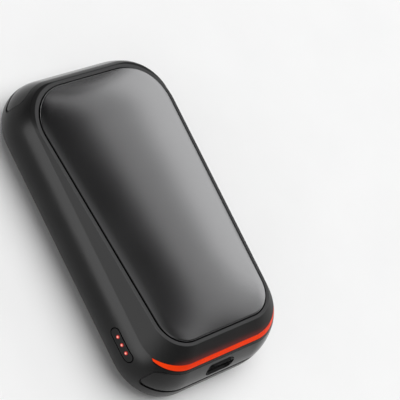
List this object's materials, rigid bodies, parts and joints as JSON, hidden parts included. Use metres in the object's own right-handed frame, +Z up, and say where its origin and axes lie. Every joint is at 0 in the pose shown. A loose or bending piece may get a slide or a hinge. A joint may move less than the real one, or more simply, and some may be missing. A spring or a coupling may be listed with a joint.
{
  "type": "rechargeable hand warmer",
  "caption": "Pocket hand warmer with a crowned metal heat plate, barrel-sided black case, sprung power button, glowing light bar and a charging socket in one end cap.",
  "frame": {"origin": "centre of the object across and along, on its flat back", "axes": "+X across, with the power button on the -X side; +Y along, away from the charging socket; +Z up through the front heat plate"},
  "size_m": [0.049, 0.0844, 0.0204],
  "materials": {
    "sleeve_black": "satin black moulded",
    "cap_black": "polished black moulded",
    "plate_grey": "bead-blasted, anodised dark grey",
    "light_orange": "clear orange-red light guide",
    "guide_red": "clear red light guide",
    "gasket_black": "adhesive foam tape",
    "film_amber": "polyimide film",
    "pad_white": "fibre insulation",
    "cell_foil": "pouch foil",
    "board_green": "solder mask on laminate",
    "chip_black": "moulded package",
    "chip_white": "small light package",
    "part_brown": "fired body with tinned ends",
    "steel": "plated",
    "lead_red": "soft insulation"
  },
  "bodies": {
    "case": {"main_housing": "sleeve_black", "rear_cover": "sleeve_black", "port_end_cap": "cap_black", "plain_end_cap": "cap_black", "front_heat_plate": "plate_grey", "rear_heat_plate": "plate_grey", "light_bar": "light_orange", "front_plate_gasket": "gasket_black", "rear_plate_gasket": "gasket_black", "front_heater_film": "film_amber", "rear_heater_film": "film_amber", "front_insulation_pad": "pad_white", "rear_insulation_pad": "pad_white", "battery_cell": "cell_foil", "battery_board": "board_green", "main_board": "board_green", "button_board": "board_green", "light_strip_board": "board_green", "controller_chip": "chip_black", "charger_chip": "chip_black", "power_inductor": "chip_black", "heater_mosfets": "chip_black", "board_resistors": "chip_black", "switch_body": "chip_black", "usb_socket_tongue": "chip_black", "front_thermistor": "chip_black", "rear_thermistor": "chip_black", "battery_connector": "chip_white", "light_strip_leds": "chip_white", "button_leds": "chip_white", "board_capacitors": "part_brown", "usb_socket_shell": "steel", "case_screws": "steel", "board_screws": "steel", "battery_leads": "lead_red", "front_heater_leads": "lead_red", "rear_heater_leads": "lead_red"},
    "button": {"power_button": "sleeve_black", "button_light_guide": "guide_red", "switch_plunger": "chip_white"}
  },
  "joints": [
    {"name": "button_press", "type": "slide", "parent": "case", "child": "button", "axis": [1, 0, 0], "range_m": [0, 0.00035], "stiffness_N_per_m": 4000, "springref_m": -0.0002}
  ]
}
